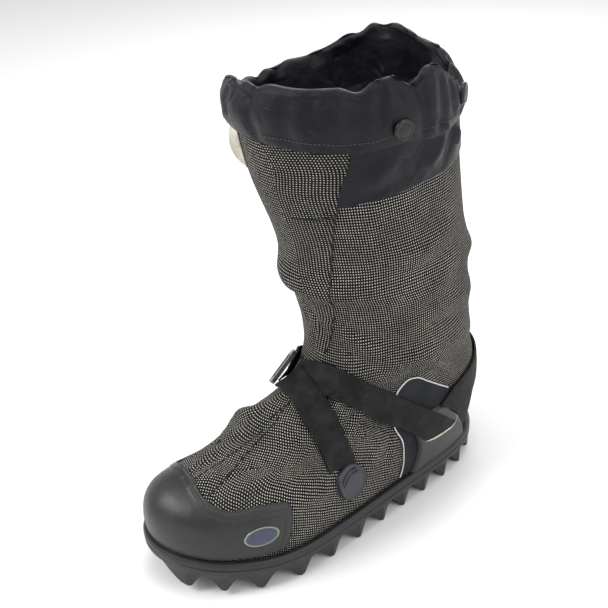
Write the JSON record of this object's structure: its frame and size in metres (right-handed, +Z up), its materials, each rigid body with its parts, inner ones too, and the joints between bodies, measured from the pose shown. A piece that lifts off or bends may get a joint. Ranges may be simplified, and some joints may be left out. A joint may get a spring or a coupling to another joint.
{
  "type": "insulated overshoe",
  "caption": "Tall insulated overshoe for the left foot, with a lugged rubber sole, a moulded toe cap, crossing instep straps, a heel strap and a gathered nylon cuff.",
  "frame": {"origin": "on the flat face of a tread bar at the middle of the sole's length, at floor height", "axes": "-Y towards the toe, +Y towards the heel, +X towards the wearer's left (the outer side), +Z up"},
  "size_m": [0.1782, 0.3463, 0.4011],
  "materials": {
    "sole_rubber": "matte",
    "cap_rubber": "matte, textured",
    "wing_rubber": "satin",
    "tab_rubber": "satin",
    "dotted_fabric": "woven, dark with pale dots",
    "flap_fabric": "woven, dark with pale dots",
    "black_nylon": "satin nylon",
    "gaiter_nylon": "satin nylon",
    "counter_cloth": "matte",
    "webbing": "ribbed",
    "footbed": "matte",
    "badge_finish": "satin",
    "pale_lining": "satin",
    "buckle_plastic": "satin",
    "bar_metal": "satin",
    "snap_finish": "satin",
    "loop_fabric": "matte"
  },
  "bodies": {
    "root": {"outsole": "sole_rubber", "insole": "footbed", "upper": "dotted_fabric", "front_flap": "flap_fabric", "toe_cap": "cap_rubber", "badge": "badge_finish", "heel_counter": "counter_cloth", "heel_wing_lateral": "wing_rubber", "heel_wing_medial": "wing_rubber", "slot_liner_lateral": "pale_lining", "slot_liner_medial": "pale_lining", "strap_instep_lateral": "webbing", "strap_instep_medial": "webbing", "strap_free_end": "webbing", "strap_heel": "webbing", "strap_tab": "tab_rubber", "buckle_frame": "buckle_plastic", "buckle_bar": "bar_metal", "gaiter": "gaiter_nylon", "cuff": "black_nylon", "snap_front": "snap_finish", "snap_rear": "snap_finish", "flap_tab": "loop_fabric"}
  },
  "joints": []
}
